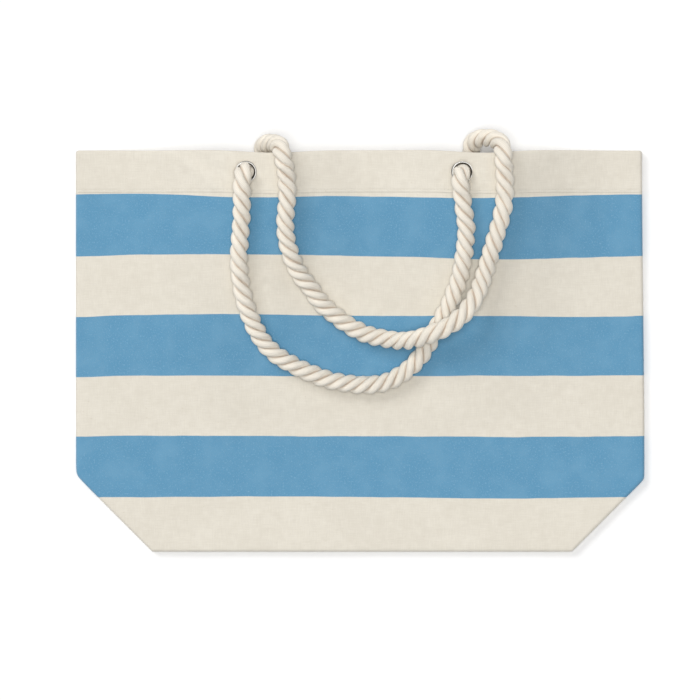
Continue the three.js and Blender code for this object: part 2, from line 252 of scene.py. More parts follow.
def rope_material():
    """Soft cotton yarns along each strand.

    UV x goes round a strand and is 0.5 on the rope's outside. UV y is metres along the rope.
    """
    soft = {"Roughness": 0.95, "Sheen_Weight": 0.25, "Sheen_Roughness": 0.5, "Specular_IOR_Level": 0.2}
    s = Shader("cotton_rope", **soft)
    uv = s.node("ShaderNodeUVMap")
    around, along = s.split(uv)
    turns = s.math("ADD", s.math("MULTIPLY", around, YARNS), s.math("MULTIPLY", along, YARN_SLANT))
    wander = s.math("MULTIPLY", s.noise(uv, 1.0, (5, 60, 1), 2), 0.9)
    yarn = s.math("SINE", s.math("MULTIPLY", s.math("ADD", turns, wander), 2 * math.pi))
    fibres = s.noise(uv, 1.0, (95, 260, 1), 4)
    cloud = s.noise(s.position(), 60, detail=3)
    fluff = s.math("ADD", fibres, s.math("MULTIPLY", cloud, 0.5))
    tone = s.math("ADD", s.math("MULTIPLY", yarn, 0.20), fluff)
    colour = s.mix(s.ramp(tone, 0.45, 1.05), ROPE_TONE, ROPE_PALE)
    # The grooves where the strands meet are darkened toward brown: painted shade.
    from_outside = s.math("ABSOLUTE", s.math("SUBTRACT", around, 0.5))
    groove_shade = s.ramp(from_outside, 0.232, 0.30, 0.0, 0.45)
    s.colour(s.mix(groove_shade, colour, ROPE_GROOVE_SHADE))
    s.bump(s.math("ADD", s.math("MULTIPLY", yarn, 0.5), s.math("MULTIPLY", fibres, 1.6)), 0.00035, 0.8)
    return s.material


def metal_material():
    """Polished nickel with the fine scratches and faint clouding of handled eyelets, and painted shade
    and dark reflections at its edges.
    """
    s = Shader("polished_nickel", Metallic=1.0)
    position = s.position()
    cloud = s.noise(position, 220, detail=4)
    scratches = s.noise(position, 1.0, (900, 4200, 900), 3)
    metal = s.mix(cloud, (0.38, 0.37, 0.35, 1), (0.52, 0.51, 0.49, 1))
    edge_shade, _ = s.split(s.node("ShaderNodeUVMap"))  # UV x is 1 where the ring's edges get painted shade and dark reflections
    # Darkens toward near-black brown at the edges: painted shade and dark reflections.
    s.colour(s.mix(s.ramp(edge_shade, 0.0, 1.0, 0.0, 0.85), metal, (0.10, 0.085, 0.07, 1)))
    roughness = s.ramp(s.math("ADD", cloud, s.math("MULTIPLY", scratches, 0.5)), 0.4, 1.1, 0.34, 0.52)
    s.tree.links.new(roughness, s.surface.inputs["Roughness"])
    s.bump(scratches, 0.00002, 0.5)
    return s.material


def thread_material():
    """Spun sewing thread, twisted, a little whiter than the canvas."""
    s = Shader("sewing_thread", Roughness=0.8, Sheen_Weight=0.2)
    position = s.position()
    ply = s.noise(position, 1.0, (2600, 900, 900), 2)
    s.colour(s.mix(ply, (0.66, 0.62, 0.54, 1), (0.84, 0.81, 0.74, 1)))
    s.bump(ply, 0.00008)
    return s.material


def floor_material():
    """Plain pale paper. Its faint glow keeps the shadows on it pale."""
    s = Shader("studio_floor", Roughness=1.0, Emission_Color=(1, 1, 1, 1), Emission_Strength=0.015)
    tone = s.noise(s.position(), 3, detail=1)
    s.colour(s.mix(tone, (0.93, 0.93, 0.93, 1), (0.95, 0.95, 0.95, 1)))
    return s.material


STRIPED = canvas_material("striped_canvas", True)
PLAIN = canvas_material("natural_canvas", False)
ROPE = rope_material()
NICKEL = metal_material()
THREAD = thread_material()


# -------------------------------- meshes
def add_mesh(name, points, faces, material, uv=None):
    """A smooth-shaded object from drawing millimetres. uv is one pair for each face corner."""
    mesh = bpy.data.meshes.new(name)
    mesh.from_pydata(to_row(points).tolist(), [], faces)
    mesh.materials.append(material)
    if uv is not None:
        layer = mesh.uv_layers.new(name="UVMap")
        layer.data.foreach_set("uv", np.asarray(uv, np.float32).ravel())
    mesh.shade_smooth()
    rims = set()
    for polygon in mesh.polygons:
        if len(polygon.vertices) != 4:  # the ends of ropes and threads are flat, with a sharp rim
            polygon.use_smooth = False
            rims.update(polygon.edge_keys)
    for edge in mesh.edges:
        edge.use_edge_sharp = edge.key in rims
    return new_object(name, mesh)


def place(obj, slot, *nodes, body="bag"):
    """Hides the CAD nodes that a piece stands for and hangs it on the body that carries it. slot is not
    used.
    """
    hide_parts(*nodes)
    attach(obj, body)


def grid_faces(rows, columns, keep=None):
    """Quads between the points of a grid. keep is false where there is a hole."""
    faces = []
    for r in range(rows - 1):
        for c in range(columns - 1):
            a = r * columns + c
            if keep is None or keep[r, c]:
                faces.append((a, a + 1, a + columns + 1, a + columns))
    return faces


def curve_through(points, step):
    """Points every step millimetres along a smooth curve through the given ones."""
    p = np.asarray(points, float)
    chord = np.linalg.norm(np.diff(p, axis=0), axis=1)
    t = np.concatenate([[0], np.cumsum(chord)])
    slope = np.gradient(p, t, axis=0)
    dense = []
    for i in range(len(p) - 1):
        h = t[i + 1] - t[i]
        s = np.linspace(0, 1, 33)[:-1, None]
        dense.append(
            (2 * s**3 - 3 * s**2 + 1) * p[i]
            + (s**3 - 2 * s**2 + s) * h * slope[i]
            + (3 * s**2 - 2 * s**3) * p[i + 1]
            + (s**3 - s**2) * h * slope[i + 1]
        )
    dense = np.concatenate([*dense, p[-1:]])
    length = np.concatenate([[0], np.cumsum(np.linalg.norm(np.diff(dense, axis=0), axis=1))])
    even = np.linspace(0, length[-1], max(2, round(length[-1] / step)) + 1)
    return np.stack([np.interp(even, length, dense[:, k]) for k in range(3)], axis=1), even


def frames_along(line, sideways=(1, 0, 0)):
    """Two directions square to a line all along it, turning about it as little as possible."""
    forward = np.gradient(line, axis=0)
    forward /= np.linalg.norm(forward, axis=1, keepdims=True)
    across = np.empty_like(line)
    last = np.array(sideways, float)
    for i, f in enumerate(forward):
        last = last - f * (last @ f)
        last /= np.linalg.norm(last)
        across[i] = last
    return across, np.cross(forward, across)


# -------------------------------- rope
ROPE_R = 9.0
LAY = 37.0  # one turn of a strand along the rope
STRAND_OUT = 4.6  # a strand's centre from the rope's
STRAND_DEEP = 4.4  # a strand's half widths, across the rope and round it
STRAND_WIDE = 4.75
ROUND = 30  # points round a strand


class Rope:
    """Three strands laid left-handed (S lay) along a line, held as rings of points.

    One rope can be meshed in several pieces whose ends meet. radius gives the rope's radius from the
    length along it and its whole length.
    """

    def __init__(self, points, seed, radius=None, step=1.5):
        self.line, self.along = curve_through(points, step)
        self.seed = seed
        whole = self.along[-1]
        self.size = np.array([1.0 if radius is None else radius(a, whole) / ROPE_R for a in self.along])
        # The lay is looser in some stretches than in others, and tighter where the rope is thin.
        rate = 2 * math.pi / LAY * (1 + 0.20 * self.soft(55, 0.5)) * (0.75 + 0.25 / self.size)
        turned = np.concatenate([[0], np.cumsum((rate[1:] + rate[:-1]) / 2 * np.diff(self.along))])
        self.u = np.arange(ROUND + 1) / ROUND  # 0 faces the rope's core, 0.5 its outside
        across, beside = frames_along(self.line)
        self.strands = [self.strand(number, turned, across, beside) for number in range(3)]

    def soft(self, period, channel):
        """Smooth noise along the rope, with bumps about period millimetres long."""
        return np.array([noise.noise(Vector((a / period, channel, self.seed))) for a in self.along])

    def strand(self, number, turned, across, beside):
        """The rings of points round one strand, ridged by its yarns and here and there plumper."""
        turn = 2 * math.pi * number / 3 - turned + 0.16 * self.soft(24, 3.5 + number)
        out = across * np.cos(turn)[:, None] + beside * np.sin(turn)[:, None]
        tangent = -across * np.sin(turn)[:, None] + beside * np.cos(turn)[:, None]
        yarns = YARNS * self.u[None, :] + self.along[:, None] * (YARN_SLANT * MM)
        ridge = 1 + 0.018 * np.sin(2 * math.pi * yarns)
        plump = (1 + 0.08 * self.soft(11, 7.5 + number))[:, None] * ridge
        angle = 2 * math.pi * (self.u - 0.5)
        deep = (self.size[:, None] * STRAND_DEEP * plump * np.cos(angle))[:, :, None]
        wide = (self.size[:, None] * STRAND_WIDE * plump * np.sin(angle))[:, :, None]
        from_core = self.size * STRAND_OUT * (1 + 0.03 * self.soft(17, 13.5 + number))
        centre = self.line + out * from_core[:, None]
        return centre[:, None, :] + deep * out[:, None, :] + wide * tangent[:, None, :]

    def nearest(self, point):
        """The number of the ring nearest a point."""
        return int(np.argmin(np.linalg.norm(self.line - np.array(point), axis=1)))

    def piece(self, name, first=0, last=None):
        """The mesh from ring first to ring last, and the row-frame line that it follows."""
        last = len(self.line) - 1 if last is None else last
        vertices, faces, uv = [], [], []
        for rings in self.strands:
            base = len(vertices)
            vertices.extend(rings[first : last + 1, :-1].reshape(-1, 3))
            for i in range(last - first):
                v0, v1 = self.along[first + i] * MM, self.along[first + i + 1] * MM
                for k in range(ROUND):
                    a, b = base + i * ROUND + k, base + i * ROUND + (k + 1) % ROUND
                    faces.append((a, b, b + ROUND, a + ROUND))
                    u0, u1 = self.u[k], self.u[k + 1]
                    uv.extend([(u0, v0), (u1, v0), (u1, v1), (u0, v1)])
            for row, order in ((0, -1), (last - first, 1)):
                faces.append(tuple(base + row * ROUND + k for k in range(ROUND))[::order])
                uv.extend([(0.25, self.along[first + row] * MM)] * ROUND)
        return add_mesh(name, np.array(vertices), faces, ROPE, uv), to_row(self.line[first : last + 1])


def cad_tree(node):
    mesh = frame["nodes"][node].data
    return BVHTree.FromPolygons([v.co for v in mesh.vertices], [tuple(p.vertices) for p in mesh.polygons])


TREES = {node: cad_tree(node) for node in ("front_panel", "back_panel", "front_hem", "back_hem")}
WELL_OUTSIDE = 1000.0  # millimetres


def height_of(node, x, y, side):
    """The z of a CAD sheet's upper (side 1) or lower (side -1) face, or None in a hole."""
    origin = Vector(to_row((x, y, WELL_OUTSIDE * side)))
    hit = TREES[node].ray_cast(origin, Vector((0, 0, -side)))[0]
    return None if hit is None else hit.z / MM


# Routes over the front panel, left to right: x, y, and how far the rope is lifted off the cloth.
FRONT_ROUTE = [
    (-113.0, 345, 0.8),
    (-113.8, 320, 0),
    (-115.4, 300, 0),
    (-116.2, 280, 0),
    (-114.3, 260, 0),
    (-110, 241, 0),
    (-103, 222, 0),
    (-93, 204, 0),
    (-80, 191, 0),
    (-64.5, 181.5, 0),
    (-46.5, 173, 0),
    (-28.5, 166.5, 0),
    (-10, 163, 0),
    (6, 161.5, 0),
    (21, 163, 0),
    (35.5, 168.5, 0),
    (47.5, 176.5, 0),
    (57, 186, 0),
    (64.5, 196.5, 0),
    (71, 208, 0),
    (77.5, 220, 0),
    (84.5, 233, 0),
    (91, 247, 0),
    (96.5, 262, 0),
    (100.5, 279, 0),
    (103, 297, 0),
    (104, 315, 0),
    (101.6, 333, 0.4),
    (99.6, 347, 1.0),
]
REAR_ROUTE = [
    (-71.4, 372, 0.9),
    (-70, 362, 0.3),
    (-69.3, 352, 0),
    (-70, 336, 0),
    (-71.2, 320, 0),
    (-70.2, 304, 0),
    (-66, 288, 0),
    (-58, 270.5, 0),
    (-46, 254.5, 0),
    (-35.5, 240, 0),
    (-21.5, 228, 0),
    (-6.5, 217.5, 0),
    (9, 210.3, 0),
    (25, 206.5, 1.5),
    (40, 204.5, 7),
    (55, 206, 15),
    (69.5, 211, 19.5),
    (85.5, 217.8, 20),
    (98.7, 227.8, 18),
    (109.2, 240.5, 12),
    (117.5, 257, 4.5),
    (123.5, 275, 0.5),
    (128.5, 291, 0),
    (133, 307, 0),
    (137.5, 322, 0),
    (140.5, 337, 0),
    (141.5, 352, 0),
    (141.2, 362, 0.3),
    (140.6, 372, 0.9),
]
CLEAR = 0.4  # left between a rope and what it lies on
TABLE_CLEAR = 0.3


def laid(route):
    """A route's points at the height of a rope that lies on the front panel."""
    return [(x, y, height_of("front_panel", x, y, 1) + ROPE_R + CLEAR + lift) for x, y, lift in route]


FRONT_EYELETS = [middle(f"front_{side}_eyelet") for side in ("left", "right")]
REAR_EYELETS = [middle(f"rear_{side}_eyelet") for side in ("left", "right")]
hinges = {j["name"]: np.array(j["pos_m"]) / MM - [0, BOTTOM_FOLD / MM, 0] for j in frame["joints"]}
FRONT_AXIS = hinges["front_handle_swing"]
REAR_AXIS = hinges["rear_handle_swing"]
TABLE_ROPE_Z = ROPE_R + TABLE_CLEAR
EYELET_SQUEEZE = 7.7  # the rope's radius inside an eyelet


def elbow(eyelet, lean, rise):
    """The front rope from the knot's side of an eyelet, out through it and over on to the panel.

    It lies lean millimetres to the side, and bulges rise millimetres towards the mouth.
    """
    x, y, top = eyelet[0], FRONT_AXIS[1], FRONT_AXIS[2]
    return [
        (x, y, FACE_Z - 12),
        (x, y + 0.2, FACE_Z - 5),
        (x + lean * 0.2, y + rise, FACE_Z + 2),
        (x + lean * 0.5, y + rise - 0.4, top - 5.0),
        (x + lean * 0.85, y - 4.0, top - 0.4),
        (x + lean, y - 10.5, top + 0.8),
    ]


def squeezed_ends(along, whole):
    """The front rope's radius: the eyelets squeeze its last 8 mm, and it is full again at 15 mm."""
    return EYELET_SQUEEZE + (ROPE_R - EYELET_SQUEEZE) * smooth_step(min(along, whole - along), 8, 15)


def front_handle():
    left = elbow(FRONT_EYELETS[0], -3.8, 0.9)
    right = elbow(FRONT_EYELETS[1], -2.2, -1.2)
    obj, line = Rope(left + laid(FRONT_ROUTE) + right[::-1], 1.0, squeezed_ends).piece("front_rope")
    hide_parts("front_handle")
    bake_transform(obj)


front_handle()

# The rear rope leaves its eyelets under the back panel, turns up round the mouth in an arch and lies on
# the front panel. It crosses the handle's axis on the slant.
ARCHES = [
    [  # left: x, y, and z from the axis up
        (-93.4, 386.7, -26.6),
        (-93.2, 390.9, -23.4),
        (-92.5, 393.9, -17.6),
        (-90.6, 395.5, -11.4),
        (-87.6, 396.2, -5.4),
        (-84.0, 396.5, 0.0),
        (-81.4, 395.8, 5.4),
        (-79.4, 395.0, 11.4),
        (-77.4, 393.7, 17.8),
        (-75.7, 390.7, 23.4),
        (-73.9, 384.4, 25.9),
    ],
    [  # right
        (109.2, 388.0, -26.6),
        (109.6, 393.0, -23.0),
        (111.4, 397.4, -17.2),
        (114.6, 400.0, -11.0),
        (118.9, 401.2, -5.2),
        (124.0, 401.5, 0.0),
        (129.2, 400.9, 5.2),
        (133.6, 399.2, 11.0),
        (136.9, 396.3, 16.8),
        (138.8, 391.6, 22.2),
        (139.8, 385.0, 24.5),
    ],
]
AT_AXIS = 5  # the number of an arch's point on the handle's axis


def tail(eyelet, x_under):
    """From inside the bag down through a rear eyelet, and along the table towards the mouth."""
    x, y = eyelet[0], eyelet[1]
    back_face = height_of("back_panel", x - 14, y, -1)  # beside the hole
    return [
        (x, y, back_face + 9),
        (x, y, back_face + 3),
        (x + (x_under - x) * 0.03, y + 0.6, back_face - 3.5),
        (x + (x_under - x) * 0.2, y + 4.0, TABLE_ROPE_Z + 1.4),
        (x + (x_under - x) * 0.6, y + 10.0, TABLE_ROPE_Z),
    ]


def rear_turn(whole, side, first, last):
    """The rear rope from a ring to another round the mouth, where it crosses the handle's axis."""
    turn, _ = whole.piece(f"rear_{side}_turn", first, last)
    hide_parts(f"rear_{side}_rope_end")
    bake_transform(turn)
    return turn


def rear_handle():
    arches = [[(x, y, REAR_AXIS[2] + rise) for x, y, rise in arch] for arch in ARCHES]
    left = tail(REAR_EYELETS[0], ARCHES[0][0][0]) + arches[0]
    right = tail(REAR_EYELETS[1], ARCHES[1][0][0]) + arches[1]
    route = laid(REAR_ROUTE)
    whole = Rope(left + route + right[::-1], 2.0, step=1.2)
    first, last = whole.nearest(route[0]), whole.nearest(route[-1])
    turns = [
        rear_turn(whole, "left", 0, first),
        rear_turn(whole, "right", last, None),
    ]
    handle, line = whole.piece("rear_rope", first, last)
    place(handle, "cotton_rope", "rear_handle", body="rear_handle")


rear_handle()

# -------------------------------- knots
KNOT_RADIUS = 9.6  # of the knotted rope's centreline
KNOT_RISE = 5.2
KNOT_ROPE_R = 5.7  # the rope is pulled thin where it is knotted
KNOT_Z = 36.9
# Each knot's eyelet, how far the knot's middle is from it, and the height where its rope begins.
KNOTS = [
    ("front_left", FRONT_EYELETS[0], (-10, -10), FACE_Z - 12),
    ("front_right", FRONT_EYELETS[1], (-10, -10), FACE_Z - 12),
    ("rear_left", REAR_EYELETS[0], (13, 2), 29.5),
    ("rear_right", REAR_EYELETS[1], (13, 2), 29.5),
]


def knot(name, eyelet, offset, neck_z):
    """An overhand knot: a trefoil opened at the lobe nearest its eyelet, with a short tail."""
    centre = np.array([eyelet[0] + offset[0], eyelet[1] + offset[1], KNOT_Z])
    away = math.atan2(-offset[1], -offset[0]) + math.pi / 2
    points = [np.array([eyelet[0], eyelet[1], neck_z])]
    for t in np.linspace(math.pi + 0.35, 3 * math.pi - 0.1, 26):
        x = (math.sin(t) + 2 * math.sin(2 * t)) * KNOT_RADIUS / 3
        y = (math.cos(t) - 2 * math.cos(2 * t)) * KNOT_RADIUS / 3
        turned_x = x * math.cos(away) - y * math.sin(away)
        turned_y = x * math.sin(away) + y * math.cos(away)
        points.append(centre + [turned_x, turned_y, -math.sin(3 * t) * KNOT_RISE])
    onward = (points[-1] - points[-2]) / np.linalg.norm(points[-1] - points[-2])
    points.append(points[-1] + onward * 5)
    obj, _ = Rope(points, 3.0, lambda along, whole: KNOT_ROPE_R).piece(f"{name}_knot")
    place(obj, "cotton_rope", f"{name}_rope_end")


for facts in KNOTS:
    knot(*facts)

# -------------------------------- cloth
CLOTH = 1.15  # thickness of one layer
FACING = 0.9  # thickness of the layers inside
COLUMNS, ROWS = 185, 131
EDGE_BULGE = 2.2  # how far a folded edge swells out beyond the flat cloth
CURL = 5  # rings of points round a folded edge
LEFT_CORNER, RIGHT_CORNER = 75.0, 71.0  # the height at which the 45 degree corners begin
CAD_CORNER = 73.0  # the same height on the CAD panels
LEAN_OUT = 2.4  # the right side is this much farther out near the base than at the mouth
HEM_EDGE = 349.0
HEM_STITCH = 350.8
HOLE = 9.4  # radius of the cloth's holes for the eyelets, and of those in the facings
FACING_HOLE = 10.2
MOUTH_ROLL = 2.4  # about how far the mouth's edge rolls down


def cut_off(y, corner, rounded):
    """How far a boxed corner's fold has moved the edge in at height y."""
    below = corner - y
    return 0.5 * (below + np.sqrt(below * below + rounded))


def outline(y):
    """The left and right edges at height y: straight sides, then boxed corners folded at 45 degrees."""
    left = -HALF_WIDTH + 0.4 + cut_off(y, LEFT_CORNER, 6.0)
    lean = LEAN_OUT * smooth_step(-y, -HEIGHT, -80.0)
    right = HALF_WIDTH - 0.2 + lean - cut_off(y, RIGHT_CORNER, 1.5)
    return left, right


def sheet_of(node, x, y, side, fallback):
    """Heights of a CAD sheet's middle, read where the finer cloth's points are."""
    low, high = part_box(node)
    y_low, y_high = (low.y - BOTTOM_FOLD) / MM + 1, (high.y - BOTTOM_FOLD) / MM - 1
    x_low, x_high = low.x / MM + 1, high.x / MM - 1
    corner = CAD_CORNER if node.endswith("panel") else 0.0
    heights = np.empty_like(x)
    for i in np.ndindex(x.shape):
        yy = min(max(y[i], y_low), y_high)
        inset = max(0.0, corner - yy)
        xx = min(max(x[i], x_low + inset), x_high - inset)
        z = height_of(node, xx, yy, side)
        heights[i] = fallback if z is None else z
    return heights - side * CLOTH / 2


def blurred(heights, cells):
    """Rounds off the CAD sheet's facets over about this many cells of the grid."""
    reach = int(3 * cells)
    kernel = np.exp(-0.5 * (np.arange(-reach, reach + 1) / cells) ** 2)
    kernel /= kernel.sum()
    for axis in (0, 1):
        padded = np.pad(heights, [(reach, reach) if a == axis else (0, 0) for a in (0, 1)], mode="edge")
        heights = np.apply_along_axis(lambda v: np.convolve(v, kernel, mode="valid"), axis, padded)
    return heights


def ripples(x, y, size, seed):
    """Smooth noise between -1 and 1 with bumps about size millimetres across."""
    out = np.empty_like(x)
    for i in np.ndindex(x.shape):
        out[i] = noise.noise(Vector((x[i] / size, y[i] / size, seed)))
    return out


# Soft creases: both ends, half width and height. They pull away from the eyelets and the corners.
FRONT_CREASES = [
    ((-182, 388), (-134, 350), 4.5, 1.5),
    ((-166, 390), (-128, 362), 3.6, -1.2),
    ((-152, 386), (-122, 372), 3.2, 1.0),
    ((-150, 352), (-122, 362), 3.5, 0.7),
    ((-208, 382), (-176, 350), 6.0, -0.9),
    ((-96, 350), (-88, 384), 3.6, -0.8),
    ((60, 386), (88, 356), 5.0, 0.9),
    ((84, 388), (94, 362), 3.5, -0.8),
    ((112, 352), (126, 380), 4.5, 0.8),
    ((150, 386), (176, 352), 6.0, 1.0),
    ((160, 352), (210, 384), 7.0, -0.9),
    ((-262, 120), (-190, 96), 7.0, 0.6),
    ((258, 118), (200, 90), 7.0, -0.6),
    ((-236, 36), (-200, 74), 5.0, 0.5),
    ((236, 40), (198, 80), 5.0, 0.5),
    ((-60, 60), (40, 44), 9.0, 0.5),
    ((60, 110), (180, 130), 10.0, -0.5),
    ((-250, 250), (-170, 300), 11.0, 0.6),
    ((190, 300), (258, 240), 11.0, 0.6),
    ((-20, 300), (30, 340), 9.0, 0.5),
]


def creases(x, y, strokes):
    """Heights of the soft creases, each of which fades towards its ends."""
    total = np.zeros_like(x)
    for (x0, y0), (x1, y1), half, rise in strokes:
        dx, dy = x1 - x0, y1 - y0
        along = ((x - x0) * dx + (y - y0) * dy) / (dx * dx + dy * dy)
        off = ((x - x0) * dy - (y - y0) * dx) / math.hypot(dx, dy)
        fade = smooth_step(along, -0.15, 0.35) * smooth_step(-along, -1.15, -0.65)
        total += rise * fade * np.exp(-0.5 * (off / half) ** 2)
    return total


def hem_step(y):
    """The turned-in hem stands up a little, with a row of stitches sunk into its edge."""
    raised = 1.1 * smooth_step(y, HEM_EDGE - 0.9, HEM_EDGE + 0.9)
    return raised - 0.5 * np.exp(-0.5 * ((y - HEM_STITCH) / 0.8) ** 2)


# Where the cloth has been pulled out of true: its middle, how far down, and its half sizes each way.
PULLS = [
    ((-108, 350), 2.7, 50, 34),
    ((-200, 348), -1.1, 42, 30),
    ((100, 350), 2.9, 58, 34),
    ((-120, 285), -1.5, 60, 24),
    ((150, 288), 3.6, 70, 28),
    ((-130, 226), -1.4, 55, 26),
    ((215, 229), 1.4, 34, 26),
    ((-272, 205), 1.8, 22, 80),
    ((165, 112), 1.1, 60, 26),
    ((-230, 52), 1.3, 80, 24),
    ((150, 52), 2.4, 90, 26),
]


def pulled(x, y):
    """Heights up the flat cloth, from heights on the bag as it lies."""
    up = y.copy()
    for (x0, y0), down, wide, tall in PULLS:
        up += down * np.exp(-0.5 * (((x - x0) / wide) ** 2 + ((y - y0) / tall) ** 2))
    up += 0.5 * np.exp(-0.5 * (x / 90) ** 2)
    up -= 0.7 * smooth_step(np.abs(x), 150, 270) * smooth_step(y, 300, 345)
    return up


def inside_edges(y_rows):
    """A grid of points within the edges that roll over: x and y, with one row for each height."""
    left, right = outline(y_rows)
    left, right = left + EDGE_BULGE, right - EDGE_BULGE
    u = np.linspace(0, 1, COLUMNS)
    x = left[:, None] + (right - left)[:, None] * u[None, :]
    return x, np.repeat(y_rows[:, None], COLUMNS, axis=1)


def draped(node, side, relief):
    """A panel's grid of points, as the CAD sheet lies but with ripples, creases and a raised hem."""
    y_flat = np.linspace(EDGE_BULGE, HEIGHT - 1.0, ROWS)
    x, y = inside_edges(y_flat)
    fallback = FACE_Z if side > 0 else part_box(node)[1].z / MM - CLOTH
    z = blurred(sheet_of(node, x, y, side, fallback), 2.6)
    # Closer rows at the corners, and at the hem's edge to carry its fold and its stitches.
    at_corners = np.arange(RIGHT_CORNER - 5, LEFT_CORNER + 5, 1.1)
    at_hem = np.arange(HEM_EDGE - 3.5, HEM_EDGE + 4.5, 0.6)
    y_rows = np.unique(np.concatenate([y_flat, at_corners, at_hem]))
    z = np.stack([np.interp(y_rows, y_flat, column) for column in z.T], axis=1)
    x, y = inside_edges(y_rows)
    z = z + relief(x, y)
    # The mouth's edge dips where the rear rope is pulled over it.
    for arch in ARCHES:
        near = np.exp(-0.5 * ((x - arch[AT_AXIS][0]) / 26) ** 2)
        y = y - 2.6 * near * smooth_step(y, HEIGHT - 90, HEIGHT)
    y = y + 0.5 * ripples(x, y, 60, 5.0) * smooth_step(y, HEIGHT - 60, HEIGHT)
    return np.stack([x, y, z], axis=2)


def roll_point(point, flat, side, over, at_left, drops):
    """Moves one point out and over the panel's edges.

    over says how many rings it is past a side, past the bottom and past the top.
    """
    over_side, over_bottom, over_top = over
    corner = LEFT_CORNER if at_left else RIGHT_CORNER
    slant = float(smooth_step(-point[1], -corner - 3, -corner + 2)) * math.pi / 4
    out = np.array([-math.cos(slant) if at_left else math.cos(slant), -math.sin(slant)]) * over_side
    out = out + np.array([0.0, -1.0]) * over_bottom + np.array([0.0, 1.0]) * over_top
    out /= max(np.linalg.norm(out), 1e-9)
    turn = max(over) / CURL * math.pi / 2
    swell = EDGE_BULGE
    at_fold = max(over_bottom / CURL, slant / (math.pi / 4))
    drop = drops[0] + (drops[1] - drops[0]) * min(1.0, at_fold)
    if over_top:
        swell, drop, turn = 1.0, MOUTH_ROLL / 2, turn * 1.8
    point[:2] += out * swell * math.sin(turn)
    flat += out * swell * turn
    point[2] -= side * drop * (1 - math.cos(turn))


def rolled(grid, side, drops):
    """The grid with rings of points rolled over its edges, and each point's place on the flat cloth."""
    ring = ((CURL, CURL), (CURL, CURL), (0, 0))
    big = np.pad(grid, ring, mode="edge")
    flat = np.pad(np.stack([grid[..., 0], pulled(grid[..., 0], grid[..., 1])], axis=2), ring, mode="edge")
    rows, columns = big.shape[:2]
    for r in range(rows):
        over_bottom, over_top = max(CURL - r, 0), max(r - (rows - 1 - CURL), 0)
        for c in range(columns):
            over = (max(CURL - c, c - (columns - 1 - CURL), 0), over_bottom, over_top)
            if any(over):
                roll_point(big[r, c], flat[r, c], side, over, c < columns / 2, drops)
    return big, flat


def around(mask):
    """Which quads of a grid have a point in the mask."""
    return mask[:-1, :-1] | mask[1:, :-1] | mask[:-1, 1:] | mask[1:, 1:]


def punched(big, holes):
    """Which quads are left round the eyelets' holes. The points round each hole move on to a circle."""
    rows, columns = big.shape[:2]
    keep = np.ones((rows - 1, columns - 1), bool)
    for hx, hy in holes:
        distance = np.hypot(big[:, :, 0] - hx, big[:, :, 1] - hy)
        inside = distance < HOLE
        quads = around(inside)
        keep &= ~quads
        rim = np.zeros((rows, columns), bool)
        for dr in (0, 1):
            for dc in (0, 1):
                rim[dr : rows - 1 + dr, dc : columns - 1 + dc] |= quads
        rim &= ~inside
        scale = np.where(rim, (HOLE + 0.1) / np.maximum(distance, 1e-6), 1.0)
        big[:, :, 0] = hx + (big[:, :, 0] - hx) * scale
        big[:, :, 1] = hy + (big[:, :, 1] - hy) * scale
    return keep


def panel(name, node, side, drops, relief, holes):
    """One side of the bag as a single cloth, whose edges roll over towards the other side.

    side is 1 for the front, whose edges roll down, and -1 for the back. drops are how far they roll
    at the side seams and at the folds of the base. Returns the object and its grid inside the edges.
    """
    grid = draped(node, side, relief)
    big, flat = rolled(grid, side, drops)
    keep = punched(big, holes)
    faces = grid_faces(*big.shape[:2], keep)
    if side < 0:
        faces = [f[::-1] for f in faces]
    obj = cloth_object(name, big.reshape(-1, 3), faces, STRIPED, CLOTH, flat.reshape(-1, 2), PLAIN)
    place(obj, "striped_canvas", node)
    return obj, grid


def cloth_object(name, points, faces, material, thickness, flat=None, inside=None):
    """A sheet of canvas with real thickness, without the points that no face uses.

    flat gives each point's place on the flat cloth, for the weave and the stripes. inside is the
    material of the other side and of the cut edges.
    """
    points = np.asarray(points)
    flat = points[:, :2] if flat is None else flat
    uv = [flat[i] * MM for face in faces for i in face]
    used = sorted({i for f in faces for i in f})
    number = {old: new for new, old in enumerate(used)}
    faces = [tuple(number[i] for i in f) for f in faces]
    obj = add_mesh(name, points[used], faces, material, uv)
    thick = obj.modifiers.new("thickness", "SOLIDIFY")
    thick.thickness = thickness * MM
    thick.offset = 0
    if inside is not None:
        obj.data.materials.append(inside)
        thick.material_offset = 1
        thick.material_offset_rim = 1
    return obj


def front_relief(x, y):
    """The front's ripples, creases and raised hem."""
    near_mouth = smooth_step(y, 250, 380)
    return (
        hem_step(y)
        + 0.9 * ripples(x, y, 95, 1.0)
        + (0.28 + 0.25 * near_mouth) * ripples(x, y, 34, 2.0)
        + 0.10 * ripples(x, y, 13, 3.0)
        + creases(x, y, FRONT_CREASES)
    )


def back_relief(x, y):
    """The back lies on the table, so its ripples only lift it."""
    lifted = 0.5 + 0.5 * ripples(x, y, 80, 11.0) + 0.25 * ripples(x, y, 30, 12.0)
    edge = smooth_step(np.minimum(HALF_WIDTH - np.abs(x), y), 0, 40)
    return 0.72 * np.clip(lifted, 0, 2) * edge - 0.1 * hem_step(y) * smooth_step(y, 330, 350)


SEAM_Z = 4.6  # where the two sides meet
FRONT_RIM_Z = RIM_Z + CLOTH / 2 + 0.25  # the middle of the front cloth at its edges
FRONT_DROPS = (FRONT_RIM_Z - SEAM_Z - 0.2, FRONT_RIM_Z - middle("base_front_half")[2])
BACK_DROPS = (SEAM_Z - 0.9, middle("base_back_half")[2] - 0.7)
FRONT_HOLES = [eyelet[:2] for eyelet in FRONT_EYELETS]
REAR_HOLES = [eyelet[:2] for eyelet in REAR_EYELETS]
front_cloth, front_grid = panel("front_cloth", "front_panel", 1, FRONT_DROPS, front_relief, FRONT_HOLES)
back_cloth, back_grid = panel("back_cloth", "back_panel", -1, BACK_DROPS, back_relief, REAR_HOLES)


